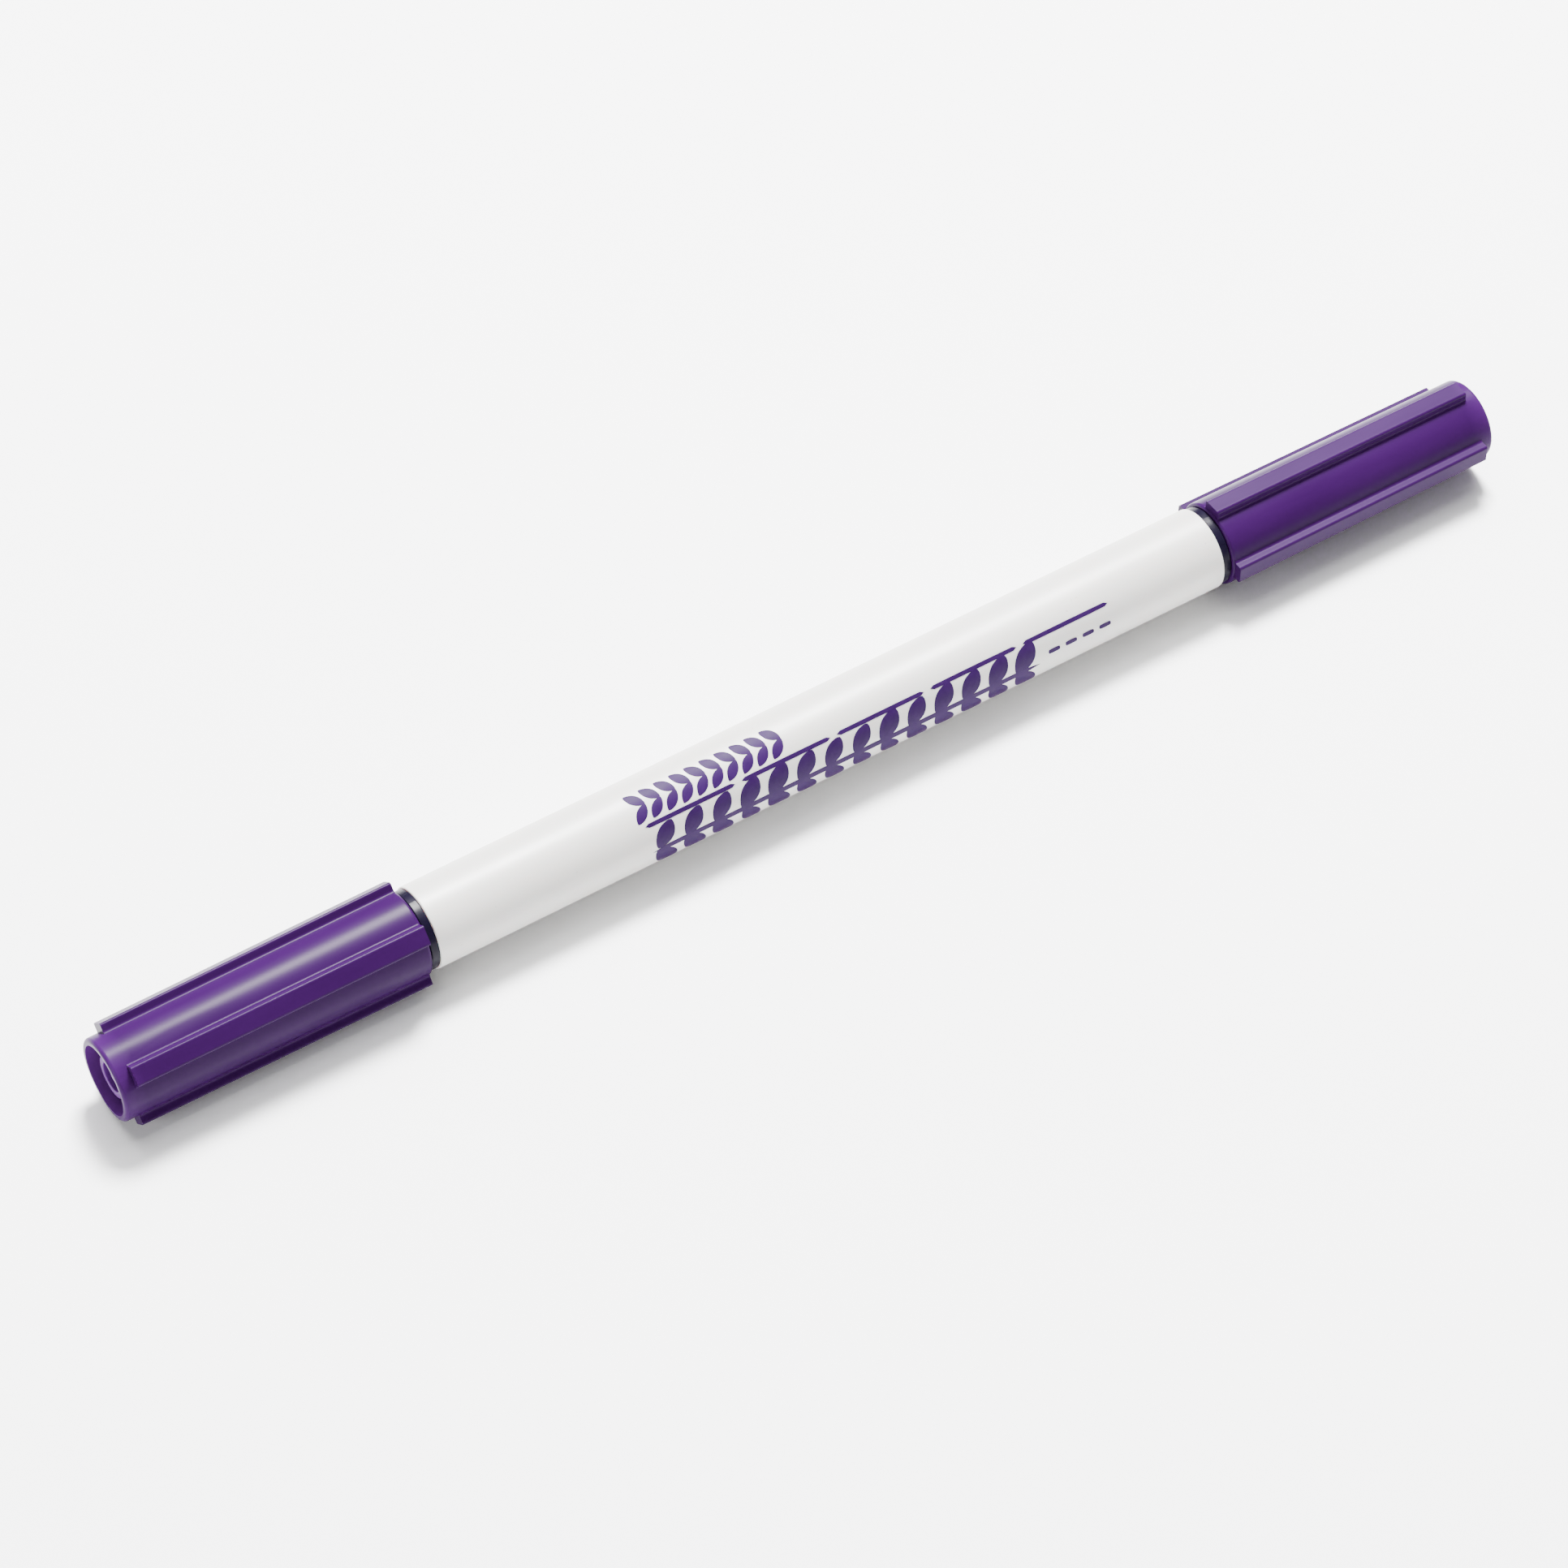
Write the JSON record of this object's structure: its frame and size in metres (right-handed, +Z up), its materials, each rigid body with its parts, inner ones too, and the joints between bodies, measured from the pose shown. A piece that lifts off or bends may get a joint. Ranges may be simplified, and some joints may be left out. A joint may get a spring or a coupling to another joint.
{
  "type": "fabric marking pen",
  "caption": "Straight double-ended marking pen with a plain barrel and ribbed pull-off caps over a fine and a chisel tip.",
  "frame": {"origin": "middle of the pen's axis", "axes": "+X along the pen from the fine tip to the broad tip; +Z up, away from the surface the pen lies on"},
  "size_m": [0.148, 0.01, 0.01],
  "materials": {
    "barrel_white": "smooth white plastic with printed ink",
    "cap_purple": "glossy moulded purple",
    "inner_cap_purple": "glossy moulded purple",
    "section_black": "glossy moulded black",
    "fibre": "ink-soaked fibre rod",
    "film": "thin film wrap",
    "nib_fibre": "bonded fibre stained with purple ink"
  },
  "bodies": {
    "pen_body": {"barrel": "barrel_white", "reservoir_core": "fibre", "reservoir_sleeve": "film", "fine_section": "section_black", "broad_section": "section_black", "fine_nib": "nib_fibre", "broad_nib": "nib_fibre"},
    "fine_cap_body": {"fine_cap": "cap_purple", "fine_inner_cap": "inner_cap_purple"},
    "broad_cap_body": {"broad_cap": "cap_purple", "broad_inner_cap": "inner_cap_purple"}
  },
  "joints": [
    {"name": "fine_cap_pull", "type": "slide", "parent": "pen_body", "child": "fine_cap_body", "axis": [-1, 0, 0], "range_m": [0, 0.04]},
    {"name": "broad_cap_pull", "type": "slide", "parent": "pen_body", "child": "broad_cap_body", "axis": [1, 0, 0], "range_m": [0, 0.04]}
  ]
}
